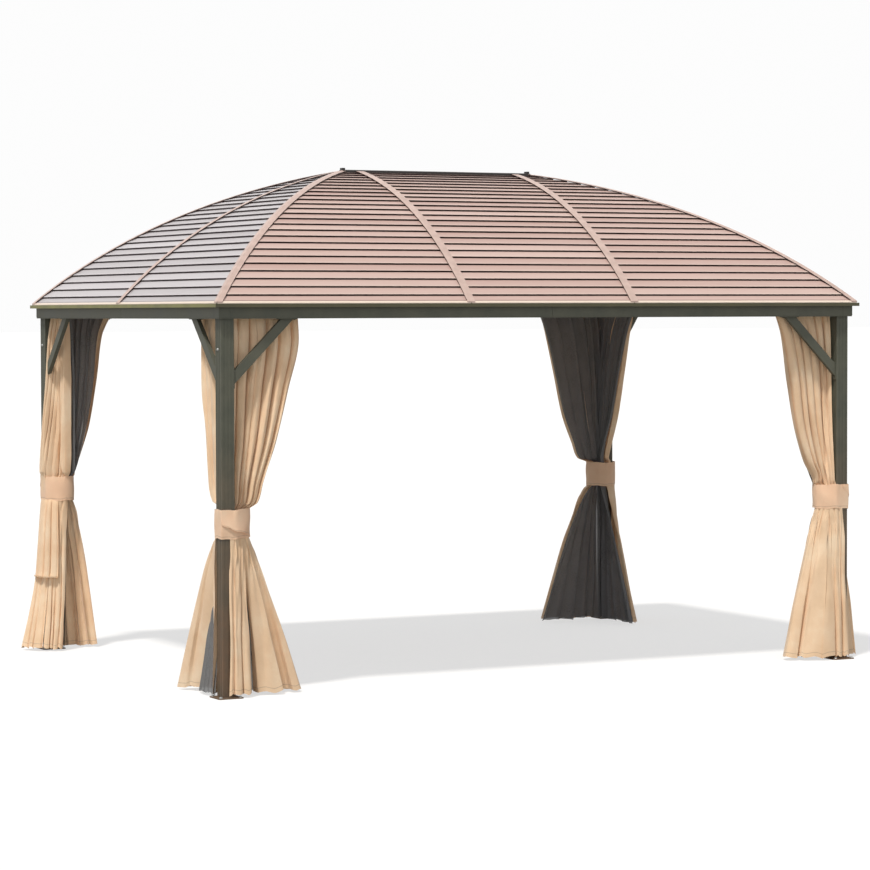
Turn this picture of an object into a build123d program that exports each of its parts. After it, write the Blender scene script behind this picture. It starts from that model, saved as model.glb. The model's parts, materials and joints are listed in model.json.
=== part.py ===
from build123d import *
import math
import os

# Hardtop gazebo: four fluted posts, a beam frame with corner braces, and a bowed hip roof of
# lapped metal slats. Gathered curtains and netting are tied back to every post.
# Millimetres, Z up. X runs along the long sides, and the front long side faces -Y.
# The origin is on the ground under the middle of the roof.
# Most pieces are built once, for the front left corner, and mirrored to the others.

# Roof sizes. The arc through the slats' lower edges is the roof's main line.
EAVE_HALF_X = 2113.0
EAVE_HALF_Y = 1500.0
EAVE_Z = 2182.0
RIDGE_HALF_X = 637.0
RIDGE_Z = 2992.0
BOW_HALF_ANGLE = 17.9
SLAT_COUNT = 26
SLAT_LAP = 9.0
SHEET = 2.5
DRIP_DROP = 16.0
RIB_X = 540.0
SEAM_HALF = 3.0

# Cap strips over the seams, and the ridge cap
CAP_WIDTH = 50.0
CAP_THICK = 5.0
RIDGE_CAP_HALF = 30.0
RIDGE_CAP_RISE = 8.0
RIDGE_CAP_REACH = 14.0
RIDGE_END = 20.0
RIDGE_END_HALF = 16.0
RIDGE_END_TOP = 10.0

# Rafters, ridge beam and its end hubs
RAFTER_WIDTH = 40.0
RAFTER_DEPTH = 50.0
RAFTER_START = 6.0
RIDGE_BEAM_DEPTH = 60.0
HUB_HALF = 52.0

# Beam frame and gutter
BEAM_Z = 2095.0
BEAM_HEIGHT = 63.0
BEAM_WIDTH = 100.0
BEAM_INSET = 21.0
BEAM_WALL = 2.5
LIP_HEIGHT = 7.0
LIP_DEPTH = 1.5
CORNER_JOINT = 67.0
JOINT_WIDTH = 2.0
SPLICE_HALF = 110.0
SPLICE_GAP = 2.0
GUTTER_REACH = 10.0
GUTTER_WIDTH = 120.0
GUTTER_HEIGHT = 20.0
GUTTER_WALL = 2.0

# Posts and base plates
POST = 80.0
POST_INSET = 19.0
POST_WALL = 3.0
POST_BEVEL = 3.0
FLUTE_WIDTH = 9.0
FLUTE_DEPTH = 1.6
FLUTE_PITCH = 22.0
PLATE = 150.0
PLATE_THICK = 6.0
PLATE_BEVEL = 10.0
BOLT_SPACING = 115.0
BOLT_HOLE_R = 6.5

# Corner braces
BRACE_INNER = 292.0
BRACE_OUTER = 366.0
BRACE_THICK = 25.0
BRACE_OUTWARD = 16.0
BRACE_PAD = 4.0
BRACE_PAD_WIDTH = 40.0
BRACE_PAD_EXTRA = 18.0

# Curtain rails
RAIL_WIDTH = 36.0
RAIL_HEIGHT = 18.0
RAIL_Z = 2112.0
RAIL_SLOT = 8.0
RAIL_SLOT_DEPTH = 12.0

# Curtains, netting and tie bands
HEM_Z = 14.0
BAND_Z = 920.0
BAND_HEIGHT = 150.0
BAND_THICK = 3.0
BAND_ROUND = 15.0
BUNDLE = 124.0
BUNDLE_SIDE = 62.0

# Values worked out from the sizes above
END_SCALE = (EAVE_HALF_X - RIDGE_HALF_X) / EAVE_HALF_Y
HIP_SLANT = math.hypot(1.0, END_SCALE)
RISE = RIDGE_Z - EAVE_Z
BOW = math.radians(BOW_HALF_ANGLE)
ARC_RADIUS = math.hypot(EAVE_HALF_Y, RISE) / (2 * math.sin(BOW))
EAVE_SLOPE = math.atan2(RISE, EAVE_HALF_Y) + BOW
BEAM_TOP = BEAM_Z + BEAM_HEIGHT
BEAM_OUT_X = EAVE_HALF_X - BEAM_INSET
BEAM_OUT_Y = EAVE_HALF_Y - BEAM_INSET
BEAM_IN_X = BEAM_OUT_X - BEAM_WIDTH
BEAM_IN_Y = BEAM_OUT_Y - BEAM_WIDTH
POST_OUT_X = BEAM_OUT_X - POST_INSET
POST_OUT_Y = BEAM_OUT_Y - POST_INSET
POST_IN_X = POST_OUT_X - POST
POST_IN_Y = POST_OUT_Y - POST
POST_MID_X = POST_OUT_X - POST / 2
POST_MID_Y = POST_OUT_Y - POST / 2


def arc_point(share, offset):
    """Distance in from the eave and height, at a share of the roof arc, moved outward by offset."""
    slope = EAVE_SLOPE - 2 * BOW * share
    inward = ARC_RADIUS * math.sin(EAVE_SLOPE) - (ARC_RADIUS + offset) * math.sin(slope)
    height = EAVE_Z - ARC_RADIUS * math.cos(EAVE_SLOPE) + (ARC_RADIUS + offset) * math.cos(slope)
    return inward, height


def slat_edges(number):
    """Lower and upper edge of one slat's outer face."""
    lower = arc_point(number / SLAT_COUNT, 0.0)
    upper = arc_point((number + 1) / SLAT_COUNT, -SLAT_LAP)
    return lower, upper


def tucked(point, lower, upper):
    """The same corner on the sheet's inner side, one sheet further up and in."""
    length = math.dist(lower, upper)
    along = ((upper[0] - lower[0]) / length, (upper[1] - lower[1]) / length)
    return (point[0] + SHEET * (along[0] + along[1]), point[1] + SHEET * (along[1] - along[0]))


def lapped_outline():
    """Outline of the stepped sheet: a tread for each slat, a riser where it laps the next."""
    outer = [(0.0, EAVE_Z - DRIP_DROP)]
    inner = [(SHEET, EAVE_Z - DRIP_DROP)]
    for number in range(SLAT_COUNT):
        lower, upper = slat_edges(number)
        outer += [lower, upper]
        inner += [tucked(lower, lower, upper), tucked(upper, lower, upper)]
    inner[1] = (SHEET, inner[1][1])
    return outer + inner[::-1]


def band_outline(low, high, step=1):
    """Outline of a strip that follows every slat's edge, or every second one, between two offsets."""
    shares = [number / SLAT_COUNT for number in range(-step, SLAT_COUNT + 1, step)]
    under = [arc_point(share, low) for share in shares]
    over = [arc_point(share, high) for share in shares]
    return under + over[::-1]


def inner_height(inward):
    """Height of the inner face of the top slat, at a distance in from the eave."""
    lower, upper = slat_edges(SLAT_COUNT - 1)
    a = tucked(lower, lower, upper)
    b = tucked(upper, lower, upper)
    return a[1] + (b[1] - a[1]) * (inward - a[0]) / (b[0] - a[0])


def seat_offset():
    """How far the inner corners of the lapped sheet lie inside the roof arc."""
    lower, upper = slat_edges(0)
    corner = tucked(upper, lower, upper)
    centre_in = ARC_RADIUS * math.sin(EAVE_SLOPE)
    centre_z = EAVE_Z - ARC_RADIUS * math.cos(EAVE_SLOPE)
    return math.dist(corner, (centre_in, centre_z)) - ARC_RADIUS


def along_x(outline, x0, x1):
    """Front piece: an outline of (inward, height) points drawn out from x0 to x1."""
    corners = [(x0, inward - EAVE_HALF_Y, height) for inward, height in outline]
    return extrude(make_face(Polyline(*corners, close=True)), amount=x1 - x0, dir=(1, 0, 0))


def along_y(outline, y0, y1):
    """Left end piece: the same outline, shortened to the ends' run, from y0 to y1."""
    corners = [(inward * END_SCALE - EAVE_HALF_X, y0, height) for inward, height in outline]
    return extrude(make_face(Polyline(*corners, close=True)), amount=y1 - y0, dir=(0, 1, 0))


def plan_prism(corners, z0=EAVE_Z - 200.0, z1=RIDGE_Z + 200.0):
    """Upright prism over a plan outline."""
    flat = [(x, y, z0) for x, y in corners]
    return extrude(make_face(Polyline(*flat, close=True)), amount=z1 - z0, dir=(0, 0, 1))


def box_between(low, high):
    """Box from its lowest corner to its highest."""
    size = [b - a for a, b in zip(low, high)]
    middle = [(a + b) / 2 for a, b in zip(low, high)]
    return Pos(*middle) * Box(*size)


def hip_x(y, shift=0.0):
    """X of the front left hip at y, with shift measured square to the hip, to the front side."""
    return -RIDGE_HALF_X + y * END_SCALE + shift * HIP_SLANT


def flip_x(shape):
    return mirror(shape, about=Plane.YZ)


def flip_y(shape):
    return mirror(shape, about=Plane.XZ)


nodes = {}


def four_corners(name, shape):
    """Keep a front left piece and its three mirror images."""
    nodes[name + "_front_left"] = shape
    nodes[name + "_front_right"] = flip_x(shape)
    nodes[name + "_back_left"] = flip_y(shape)
    nodes[name + "_back_right"] = flip_x(flip_y(shape))


# Roof slats: three bays on each long side, two on each end, cut along the hips
OVER = 60.0
sheet = lapped_outline()
y_eave = -EAVE_HALF_Y - OVER
front_corner_bay = along_x(sheet, -EAVE_HALF_X - OVER, -RIB_X - SEAM_HALF) & plan_prism([
    (hip_x(y_eave, SEAM_HALF), y_eave),
    (0.0, y_eave),
    (0.0, -SEAM_HALF),
    (hip_x(-SEAM_HALF, SEAM_HALF), -SEAM_HALF),
])
front_middle_bay = along_x(sheet, -RIB_X + SEAM_HALF, RIB_X - SEAM_HALF) & plan_prism([
    (-EAVE_HALF_X, y_eave),
    (EAVE_HALF_X, y_eave),
    (EAVE_HALF_X, -SEAM_HALF),
    (-EAVE_HALF_X, -SEAM_HALF),
])
left_front_bay = along_y(sheet, y_eave, -SEAM_HALF) & plan_prism([
    (-EAVE_HALF_X - OVER, y_eave),
    (hip_x(y_eave, -SEAM_HALF), y_eave),
    (hip_x(0.0, -SEAM_HALF), 0.0),
    (-EAVE_HALF_X - OVER, 0.0),
])
nodes["roof_slats_front_left"] = front_corner_bay
nodes["roof_slats_front_middle"] = front_middle_bay
nodes["roof_slats_front_right"] = flip_x(front_corner_bay)
nodes["roof_slats_back_left"] = flip_y(front_corner_bay)
nodes["roof_slats_back_middle"] = flip_y(front_middle_bay)
nodes["roof_slats_back_right"] = flip_x(flip_y(front_corner_bay))
nodes["roof_slats_left_end_front"] = left_front_bay
nodes["roof_slats_left_end_back"] = flip_y(left_front_bay)
nodes["roof_slats_right_end_front"] = flip_x(left_front_bay)
nodes["roof_slats_right_end_back"] = flip_x(flip_y(left_front_bay))


def hip_member(outline, half_width):
    """Strip folded over the front left hip, half of it lying along each roof face."""
    y_low = -EAVE_HALF_Y - OVER
    front = along_x(outline, -EAVE_HALF_X - OVER, 0.0) & plan_prism([
        (hip_x(y_low), y_low),
        (hip_x(y_low, half_width), y_low),
        (hip_x(0.0, half_width), 0.0),
        (hip_x(0.0), 0.0),
    ])
    end = along_y(outline, y_low, 0.0) & plan_prism([
        (hip_x(y_low), y_low),
        (hip_x(0.0), 0.0),
        (hip_x(0.0, -half_width), 0.0),
        (hip_x(y_low, -half_width), y_low),
    ])
    return front + end


# Cap strips: folded over the hips, flat over the seams inside each side
ridge_cap_x = RIDGE_HALF_X + RIDGE_CAP_REACH
under_ridge_cap = box_between((-ridge_cap_x, -RIDGE_CAP_HALF, EAVE_Z),
                              (ridge_cap_x, RIDGE_CAP_HALF, RIDGE_Z + OVER))
eave_zone = box_between((-EAVE_HALF_X, -EAVE_HALF_Y, EAVE_Z - OVER),
                        (EAVE_HALF_X, EAVE_HALF_Y, RIDGE_Z + OVER))
cap_outline = band_outline(0.0, CAP_THICK)
hip_cap = (hip_member(cap_outline, CAP_WIDTH / 2) & eave_zone) - under_ridge_cap
four_corners("hip_cap", hip_cap)
front_rib_cap = along_x(cap_outline, -RIB_X - CAP_WIDTH / 2, -RIB_X + CAP_WIDTH / 2)
front_rib_cap = (front_rib_cap & eave_zone) - under_ridge_cap
front_caps = front_rib_cap + flip_x(front_rib_cap)
nodes["rib_caps_front"] = front_caps
nodes["rib_caps_back"] = flip_y(front_caps)
hip_cap_plan = plan_prism([
    (hip_x(-OVER, -CAP_WIDTH / 2), -OVER),
    (0.0, -OVER),
    (0.0, OVER),
    (hip_x(-OVER, -CAP_WIDTH / 2), OVER),
    (hip_x(0.0, -CAP_WIDTH / 2), 0.0),
])
end_rib_cap = along_y(cap_outline, -CAP_WIDTH / 2, CAP_WIDTH / 2)
end_rib_cap = (end_rib_cap & eave_zone) - under_ridge_cap - hip_cap_plan
nodes["rib_cap_left_end"] = end_rib_cap
nodes["rib_cap_right_end"] = flip_x(end_rib_cap)

# Ridge cap: a shallow chevron that rests on the top slats of both long sides
top_low, top_high = slat_edges(SLAT_COUNT - 1)
top_fall = (top_high[1] - top_low[1]) / (top_high[0] - top_low[0])
cap_middle = top_high[1] + top_fall * (EAVE_HALF_Y - top_high[0])
cap_side = cap_middle - top_fall * RIDGE_CAP_HALF
cap_section = [
    (-ridge_cap_x, -RIDGE_CAP_HALF, cap_side),
    (-ridge_cap_x, 0.0, cap_middle),
    (-ridge_cap_x, RIDGE_CAP_HALF, cap_side),
    (-ridge_cap_x, RIDGE_CAP_HALF, RIDGE_Z + RIDGE_CAP_RISE / 2),
    (-ridge_cap_x, 0.0, RIDGE_Z + RIDGE_CAP_RISE),
    (-ridge_cap_x, -RIDGE_CAP_HALF, RIDGE_Z + RIDGE_CAP_RISE / 2),
]
ridge_cap = extrude(make_face(Polyline(*cap_section, close=True)), amount=2 * ridge_cap_x, dir=(1, 0, 0))
end_stop = box_between((ridge_cap_x - RIDGE_END, -RIDGE_END_HALF, RIDGE_Z),
                       (ridge_cap_x, RIDGE_END_HALF, RIDGE_Z + RIDGE_CAP_RISE + RIDGE_END_TOP))
nodes["ridge_cap"] = ridge_cap + end_stop + flip_x(end_stop)

# Ridge beam with a hub at each end, where hip rafters and end rafter meet
beam_half = RAFTER_WIDTH / 2
ridge_top = inner_height(EAVE_HALF_Y - beam_half)
hub_top = inner_height(EAVE_HALF_Y - HUB_HALF / END_SCALE)
ridge_beam = box_between((-RIDGE_HALF_X, -beam_half, ridge_top - RIDGE_BEAM_DEPTH),
                         (RIDGE_HALF_X, beam_half, ridge_top))
for side in (-1, 1):
    hub_x = side * RIDGE_HALF_X
    ridge_beam += box_between((hub_x - HUB_HALF, -HUB_HALF, hub_top - RIDGE_BEAM_DEPTH),
                              (hub_x + HUB_HALF, HUB_HALF, hub_top))
nodes["ridge_beam"] = ridge_beam

# Rafters: bowed bars under the seams, standing in the gutter and ending on the ridge beam
rafter_outline = band_outline(seat_offset() - RAFTER_DEPTH, seat_offset(), 2)
rafter_zone = box_between(
    (-EAVE_HALF_X + RAFTER_START, -EAVE_HALF_Y + RAFTER_START, BEAM_TOP + GUTTER_WALL),
    (EAVE_HALF_X - RAFTER_START, EAVE_HALF_Y - RAFTER_START, RIDGE_Z))
ridge_zone = box_between((-RIDGE_HALF_X, -beam_half, EAVE_Z), (RIDGE_HALF_X, beam_half, RIDGE_Z))
for side in (-1, 1):
    hub_x = side * RIDGE_HALF_X
    ridge_zone += box_between((hub_x - HUB_HALF, -HUB_HALF, EAVE_Z), (hub_x + HUB_HALF, HUB_HALF, RIDGE_Z))
hip_rafter = (hip_member(rafter_outline, RAFTER_WIDTH / 2) & rafter_zone) - ridge_zone
four_corners("hip_rafter", hip_rafter)
front_rafter = along_x(rafter_outline, -RIB_X - RAFTER_WIDTH / 2, -RIB_X + RAFTER_WIDTH / 2)
front_rafter = (front_rafter & rafter_zone) - ridge_zone
front_rafters = front_rafter + flip_x(front_rafter)
nodes["rafters_front"] = front_rafters
nodes["rafters_back"] = flip_y(front_rafters)
end_rafter = along_y(rafter_outline, -RAFTER_WIDTH / 2, RAFTER_WIDTH / 2)
end_rafter = (end_rafter & rafter_zone) - ridge_zone
nodes["rafter_left_end"] = end_rafter
nodes["rafter_right_end"] = flip_x(end_rafter)


def mitred(outer_x, outer_y, width):
    """Plan of the front member of a mitred frame."""
    return plan_prism([
        (-outer_x, -outer_y),
        (outer_x, -outer_y),
        (outer_x - width, -outer_y + width),
        (-outer_x + width, -outer_y + width),
    ], 0.0, RIDGE_Z)


def mitred_end(outer_x, outer_y, width):
    """Plan of the left member of a mitred frame."""
    return plan_prism([
        (-outer_x, -outer_y),
        (-outer_x + width, -outer_y + width),
        (-outer_x + width, outer_y - width),
        (-outer_x, outer_y),
    ], 0.0, RIDGE_Z)


def chamfered(side, cut):
    """Square with its corners cut off."""
    square = Rectangle(side, side)
    return chamfer(square.vertices(), cut)


def tube_section(width, height, wall):
    """Rectangular tube drawn with its outer lower corner at the start."""
    outer = Pos(width / 2, height / 2) * Rectangle(width, height)
    inner = Pos(width / 2, height / 2) * Rectangle(width - 2 * wall, height - 2 * wall)
    return outer - inner


def beam_section():
    """Beam tube whose outer face steps back along a lip at the bottom."""
    lip = Pos(LIP_DEPTH / 2, LIP_HEIGHT / 2) * Rectangle(LIP_DEPTH, LIP_HEIGHT)
    return tube_section(BEAM_WIDTH, BEAM_HEIGHT, BEAM_WALL) - lip


def solid_section(width, height, inset):
    """Bar section that fits inside a tube with the given wall."""
    return Pos(width / 2, height / 2) * Rectangle(width - 2 * inset, height - 2 * inset)


# Planes whose first axis points inward from the front and left faces, and whose second is up
def front_plane(x, y, z):
    return Plane(origin=(x, y, z), x_dir=(0, 1, 0), z_dir=(1, 0, 0))


def left_plane(x, y, z):
    return Plane(origin=(x, y, z), x_dir=(1, 0, 0), z_dir=(0, -1, 0))


# Beams: two halves of tube on each side, closed up on an inner splice at the middle. A fine
# joint line near each end shows where the tube meets its corner piece.
def spliced_beam(plane_at, half_length):
    tube = beam_section()
    beam = extrude(plane_at(-half_length) * tube, amount=half_length - SPLICE_GAP / 2)
    beam += extrude(plane_at(SPLICE_GAP / 2) * tube, amount=half_length - SPLICE_GAP / 2)
    splice = solid_section(BEAM_WIDTH, BEAM_HEIGHT, BEAM_WALL)
    splice -= solid_section(BEAM_WIDTH, BEAM_HEIGHT, 2 * BEAM_WALL)
    beam += extrude(plane_at(-SPLICE_HALF) * splice, amount=2 * SPLICE_HALF)
    joint = Pos(0, BEAM_HEIGHT / 2) * Rectangle(2 * LIP_DEPTH, BEAM_HEIGHT)
    for place in (CORNER_JOINT - half_length, half_length - CORNER_JOINT - JOINT_WIDTH):
        beam -= extrude(plane_at(place) * joint, amount=JOINT_WIDTH)
    return beam


front_beam = spliced_beam(lambda x: front_plane(x, -BEAM_OUT_Y, BEAM_Z), BEAM_OUT_X)
front_beam &= mitred(BEAM_OUT_X, BEAM_OUT_Y, BEAM_WIDTH)
left_beam = spliced_beam(lambda y: left_plane(-BEAM_OUT_X, -y, BEAM_Z), BEAM_OUT_Y)
left_beam &= mitred_end(BEAM_OUT_X, BEAM_OUT_Y, BEAM_WIDTH)
nodes["beam_front"] = front_beam
nodes["beam_back"] = flip_y(front_beam)
nodes["beam_left"] = left_beam
nodes["beam_right"] = flip_x(left_beam)

# Gutters: open channels on the beams, which stand proud of them under the slats' drip edge
GUTTER_X = EAVE_HALF_X + GUTTER_REACH
GUTTER_Y = EAVE_HALF_Y + GUTTER_REACH
channel = Pos(GUTTER_WIDTH / 2, GUTTER_HEIGHT / 2) * Rectangle(GUTTER_WIDTH, GUTTER_HEIGHT)
channel -= Pos(GUTTER_WIDTH / 2, GUTTER_HEIGHT / 2 + GUTTER_WALL) * Rectangle(
    GUTTER_WIDTH - 2 * GUTTER_WALL, GUTTER_HEIGHT)
front_gutter = extrude(front_plane(-GUTTER_X, -GUTTER_Y, BEAM_TOP) * channel, amount=2 * GUTTER_X)
front_gutter &= mitred(GUTTER_X, GUTTER_Y, GUTTER_WIDTH)
left_gutter = extrude(left_plane(-GUTTER_X, GUTTER_Y, BEAM_TOP) * channel, amount=2 * GUTTER_Y)
left_gutter &= mitred_end(GUTTER_X, GUTTER_Y, GUTTER_WIDTH)
nodes["gutter_front"] = front_gutter
nodes["gutter_back"] = flip_y(front_gutter)
nodes["gutter_left"] = left_gutter
nodes["gutter_right"] = flip_x(left_gutter)

# Posts: fluted square tubes welded to base plates with four anchor holes
post_section = chamfered(POST, POST_BEVEL)
for turn in range(4):
    for place in (-FLUTE_PITCH, 0.0, FLUTE_PITCH):
        flute = Pos(POST / 2, place) * Rectangle(2 * FLUTE_DEPTH, FLUTE_WIDTH)
        post_section -= Rot(0, 0, 90 * turn) * flute
post_section -= Rectangle(POST - 2 * FLUTE_DEPTH - 2 * POST_WALL, POST - 2 * FLUTE_DEPTH - 2 * POST_WALL)
post = extrude(Pos(0, 0, PLATE_THICK) * post_section, amount=BEAM_Z - PLATE_THICK)
plate = extrude(chamfered(PLATE, PLATE_BEVEL), amount=PLATE_THICK)
for hole in GridLocations(BOLT_SPACING, BOLT_SPACING, 2, 2):
    plate -= hole * Cylinder(BOLT_HOLE_R, 4 * PLATE_THICK)
four_corners("post", Pos(-POST_MID_X, -POST_MID_Y) * (post + plate))

# Corner braces: a flat bar at 45 degrees with a pad on the post and one under the beam, twice a
# corner. They sit nearer the outer faces, which leaves room inside for the gathered cloth.
brace_side = [
    (0.0, -BRACE_OUTER),
    (BRACE_OUTER, 0.0),
    (BRACE_INNER, 0.0),
    (0.0, -BRACE_INNER),
]
pad_low = -BRACE_OUTER - BRACE_PAD_EXTRA
pad_high = -BRACE_INNER + BRACE_PAD_EXTRA
brace_plane = Plane(origin=(0, BRACE_THICK / 2, 0), x_dir=(1, 0, 0), z_dir=(0, -1, 0))
brace = extrude(brace_plane * make_face(Polyline(*brace_side, close=True)), amount=BRACE_THICK)
brace += box_between((0, -BRACE_PAD_WIDTH / 2, pad_low), (BRACE_PAD, BRACE_PAD_WIDTH / 2, pad_high))
brace += box_between((-pad_high, -BRACE_PAD_WIDTH / 2, -BRACE_PAD), (-pad_low, BRACE_PAD_WIDTH / 2, 0))
brace_along_x = Pos(-POST_IN_X, -POST_MID_Y - BRACE_OUTWARD, BEAM_Z) * brace
brace_along_y = Pos(-POST_MID_X - BRACE_OUTWARD, -POST_IN_Y, BEAM_Z) * (Rot(0, 0, 90) * brace)
four_corners("braces", brace_along_x + brace_along_y)

# Curtain rails: a double track along the inner face of each beam
rail_section = Pos(RAIL_WIDTH / 2, RAIL_HEIGHT / 2) * Rectangle(RAIL_WIDTH, RAIL_HEIGHT)
for share in (0.28, 0.72):
    rail_section -= Pos(RAIL_WIDTH * share, RAIL_SLOT_DEPTH / 2) * Rectangle(RAIL_SLOT, RAIL_SLOT_DEPTH)
front_rail = extrude(front_plane(-BEAM_IN_X, -BEAM_IN_Y, RAIL_Z) * rail_section, amount=2 * BEAM_IN_X)
rail_end_y = BEAM_IN_Y - RAIL_WIDTH
left_rail = extrude(left_plane(-BEAM_IN_X, rail_end_y, RAIL_Z) * rail_section, amount=2 * rail_end_y)
nodes["curtain_rails_long"] = front_rail + flip_y(front_rail)
nodes["curtain_rails_short"] = left_rail + flip_x(left_rail)


def flat_face(corners):
    return Face(Wire.make_polygon([Vector(*corner) for corner in corners], close=True))


def wing(sections, cut=0.25):
    """Hourglass of cloth. Each section is a height, a span along the beam and a span inward."""
    rings = []
    for z, p0, p1, q0, q1 in sections:
        c = cut * min(p1 - p0, q1 - q0)
        ring = [(p0 + c, q0), (p1 - c, q0), (p1, q0 + c), (p1, q1 - c)]
        ring += [(p1 - c, q1), (p0 + c, q1), (p0, q1 - c), (p0, q0 + c)]
        rings.append([(p, q, z) for p, q in ring])
    faces = [flat_face(rings[0]), flat_face(rings[-1])]
    for low, high in zip(rings, rings[1:]):
        for a in range(len(low)):
            b = (a + 1) % len(low)
            faces.append(flat_face([low[a], low[b], high[b], high[a]]))
    return Solid(Shell(faces))


def both_ways(cloth):
    """Put a wing beside the front left post along each of its two beams."""
    along_front = Pos(-POST_IN_X, -POST_IN_Y) * cloth
    swapped = mirror(cloth, about=Plane((0, 0, 0), x_dir=(1, 1, 0), z_dir=(1, -1, 0)))
    return along_front + Pos(-POST_IN_X, -POST_IN_Y) * swapped


# Curtains: gathered cloth, spread along the rail, drawn in at the tie band and flared to the hem
band_top = BAND_Z + BAND_HEIGHT
curtain = wing([
    (HEM_Z, 6.0, 430.0, -125.0, 110.0),
    (HEM_Z + 330.0, 6.0, 300.0, -74.0, 92.0),
    (BAND_Z, 4.0, BUNDLE - 12.0, 2.0, BUNDLE_SIDE - 4.0),
    (band_top, 4.0, BUNDLE - 12.0, 2.0, BUNDLE_SIDE - 4.0),
    (band_top + 260.0, 5.0, 236.0, -8.0, BUNDLE_SIDE - 2.0),
    (band_top + 600.0, 6.0, 336.0, -6.0, 58.0),
    (BEAM_Z - 110.0, 7.0, 402.0, 0.0, 40.0),
    (RAIL_Z, 8.0, 396.0, 2.0, 18.0),
])
four_corners("curtain", both_ways(curtain))

# Netting: a thinner sheet on the inner track, drawn in behind the curtain
net = wing([
    (HEM_Z + 6.0, 112.0, 330.0, 112.0, 128.0),
    (HEM_Z + 330.0, 94.0, 230.0, 94.0, 110.0),
    (BAND_Z, BUNDLE_SIDE, BUNDLE - 20.0, BUNDLE_SIDE, BUNDLE_SIDE + 14.0),
    (band_top, BUNDLE_SIDE, BUNDLE - 20.0, BUNDLE_SIDE, BUNDLE_SIDE + 14.0),
    (band_top + 260.0, 66.0, 220.0, 66.0, 80.0),
    (band_top + 600.0, 62.0, 312.0, 62.0, 76.0),
    (BEAM_Z - 110.0, 42.0, 370.0, 42.0, 54.0),
    (RAIL_Z, 38.0, 366.0, 20.0, 34.0),
])
four_corners("net", both_ways(net))

# Tie bands: flat loops drawn tight round the post and the gathered cloth
half_loop = [
    (0.0, -POST),
    (BUNDLE - BAND_ROUND, -BAND_ROUND),
    (BUNDLE, BAND_ROUND),
    (BUNDLE, BUNDLE_SIDE),
]
loop_corners = [(-POST, -POST)] + half_loop + [(q, p) for p, q in half_loop[::-1]]
loop_inside = make_face(Polyline(*loop_corners, close=True))
loop = offset(loop_inside, amount=BAND_THICK, kind=Kind.INTERSECTION) - loop_inside
band = extrude(Pos(0, 0, BAND_Z) * loop, amount=BAND_HEIGHT)
four_corners("tie_band", Pos(-POST_IN_X, -POST_IN_Y) * band)

os.makedirs("parts", exist_ok=True)
for name, shape in nodes.items():
    export_step(shape, "parts/" + name + ".step")
print(len(nodes), "nodes written")
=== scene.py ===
# %% [markdown]
# Garden gazebo with a bowed metal roof, dressed for a photograph.
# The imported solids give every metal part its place, and this script gives them their coats of
# paint. The cloth can't be plain solids, so the curtains, the netting and the bands that tie them
# are built here, fold by fold, in the space of the solids that stand for them.

import json
import math

import bmesh
import bpy
import numpy as np
from mathutils import Matrix, Vector


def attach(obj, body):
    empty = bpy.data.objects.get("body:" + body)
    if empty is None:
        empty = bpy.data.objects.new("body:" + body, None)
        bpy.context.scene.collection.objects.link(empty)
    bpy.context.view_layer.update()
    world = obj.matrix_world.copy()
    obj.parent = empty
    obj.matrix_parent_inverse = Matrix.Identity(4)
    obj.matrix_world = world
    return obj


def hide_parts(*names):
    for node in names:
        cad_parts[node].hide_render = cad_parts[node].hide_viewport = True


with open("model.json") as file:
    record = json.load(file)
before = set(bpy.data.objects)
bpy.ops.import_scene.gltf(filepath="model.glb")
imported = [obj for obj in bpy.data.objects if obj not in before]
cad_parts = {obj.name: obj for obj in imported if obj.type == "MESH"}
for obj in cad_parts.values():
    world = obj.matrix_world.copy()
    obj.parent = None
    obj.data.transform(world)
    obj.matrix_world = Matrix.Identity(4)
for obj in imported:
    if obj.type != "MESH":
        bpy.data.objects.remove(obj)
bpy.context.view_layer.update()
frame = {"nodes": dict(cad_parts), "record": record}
print("packed nodes:", len(frame["nodes"]))

# %% [markdown]
# Colours are picked as sRGB hex values, because that is how a screen shows them, while Blender's
# shaders count light in linear values. One function turns the first into the second, so that a
# colour in this file can be held against a photograph.


# %% Colours
def colour(hex_value):
    """Linear red, green, blue and alpha of an sRGB hex value such as #C9AFA5."""
    parts = [int(hex_value[i:i + 2], 16) / 255 for i in (1, 3, 5)]
    linear = [c / 12.92 if c <= 0.04045 else ((c + 0.055) / 1.055) ** 2.4 for c in parts]
    return (*linear, 1.0)


print("mid grey #808080 is", round(colour("#808080")[0], 3), "in linear light")

# %% [markdown]
# A node material is a list of small steps, and each step is made the same way: a kind, its
# settings, and what goes into its sockets. One small function does that for every kind, which
# keeps the materials below readable as recipes. The two ends of a colour ramp are settings too,
# and the ShaderNode that starts the name of every kind is left to the function.


# %% Node helpers
def add(tree, kind, sockets=None, ramp=(), **settings):
    """Adds one node. A socket takes a value, an output, or a node for its first output."""
    made = tree.nodes.new("ShaderNode" + kind)
    for name, value in settings.items():
        setattr(made, name, value)
    for k, (position, hex_value) in enumerate(ramp):
        made.color_ramp.elements[k].position = position
        made.color_ramp.elements[k].color = colour(hex_value)
    for name, value in (sockets or {}).items():
        if isinstance(value, bpy.types.Node):
            value = value.outputs[0]
        if isinstance(value, bpy.types.NodeSocket):
            tree.links.new(value, made.inputs[name])
        else:
            made.inputs[name].default_value = value
    return made


def start_material(name, **plain):
    """A new material with its main shader, whose even values are set straight on the sockets."""
    material = bpy.data.materials.new(name)
    material.use_nodes = True
    shader = material.node_tree.nodes["Principled BSDF"]
    for socket, value in plain.items():
        shader.inputs[socket.replace("_", " ")].default_value = value
    return material, material.node_tree, shader


print("nodes are made by", add.__name__, "and materials begun by", start_material.__name__)

# %% [markdown]
# The roof has ten bays of 26 lapped strips of steel sheet, painted and baked in a long oven before
# they are rolled to shape. The dark line at each lap could come from a picture, but a picture never
# sits quite on the real laps. So the shader works out which strip it is on, from the arc that the
# roof's section follows, and every lap gets its line in the right place.

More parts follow.
